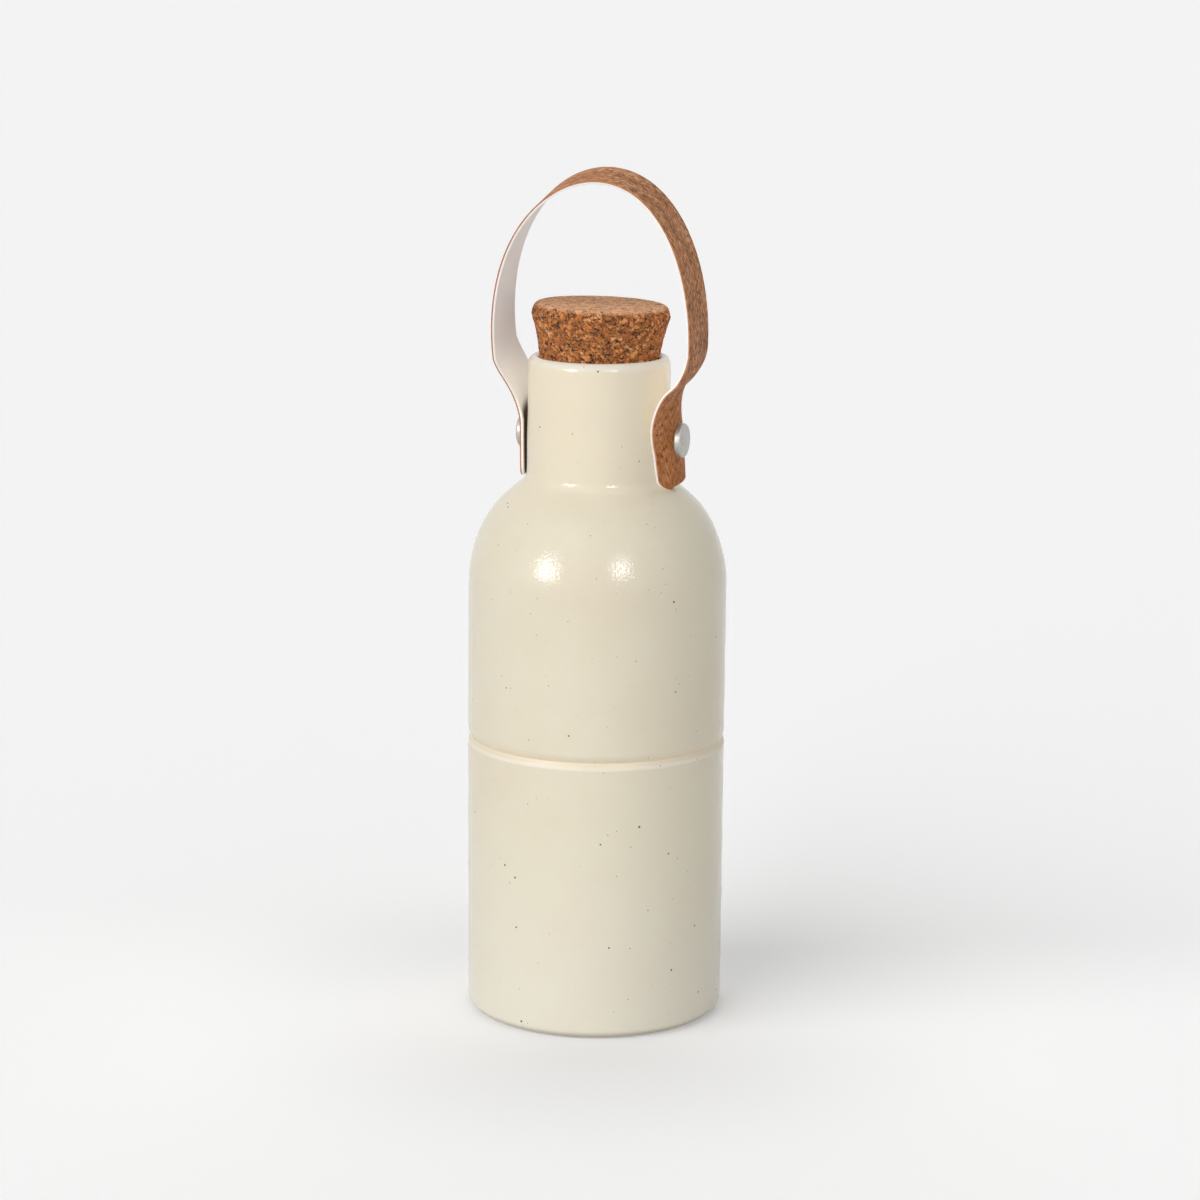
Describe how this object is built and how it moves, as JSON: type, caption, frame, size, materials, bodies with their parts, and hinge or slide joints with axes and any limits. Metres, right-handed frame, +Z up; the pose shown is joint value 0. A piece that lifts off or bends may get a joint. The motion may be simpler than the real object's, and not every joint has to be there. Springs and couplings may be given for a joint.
{
  "type": "ceramic water bottle",
  "caption": "Cream glazed stoneware water bottle with a domed shoulder, a flared cork stopper and a riveted cork-faced carrying strap.",
  "frame": {"origin": "middle of the foot ring, in the plane that the bottle stands on", "axes": "+Z up the bottle's turning axis, +X through the right-hand rivet, -Y towards the front that the strap leans to"},
  "size_m": [0.08, 0.08, 0.2647],
  "materials": {
    "glaze": "satin",
    "stopper_cork": "matte",
    "strap_cork": "matte",
    "strap_lining": "matte",
    "rivet_metal": "satin",
    "seal_rubber": "matte"
  },
  "bodies": {
    "bottle_body": {"bottle": "glaze", "left_rivet_screw": "rivet_metal", "left_rivet_post": "rivet_metal", "left_rivet_seal": "seal_rubber", "right_rivet_screw": "rivet_metal", "right_rivet_post": "rivet_metal", "right_rivet_seal": "seal_rubber"},
    "stopper": {"cork_stopper": "stopper_cork"},
    "strap": {"strap_backing": "strap_lining", "strap_cork_face": "strap_cork"}
  },
  "joints": [
    {"name": "stopper_lift", "type": "slide", "parent": "bottle_body", "child": "stopper", "axis": [0, 0, 1], "range_m": [0, 0.016]},
    {"name": "strap_lean", "type": "hinge", "parent": "bottle_body", "child": "strap", "pos_m": [0, 0, 0.18205], "axis": [1, 0, 0], "range_deg": [-55, 40]}
  ]
}
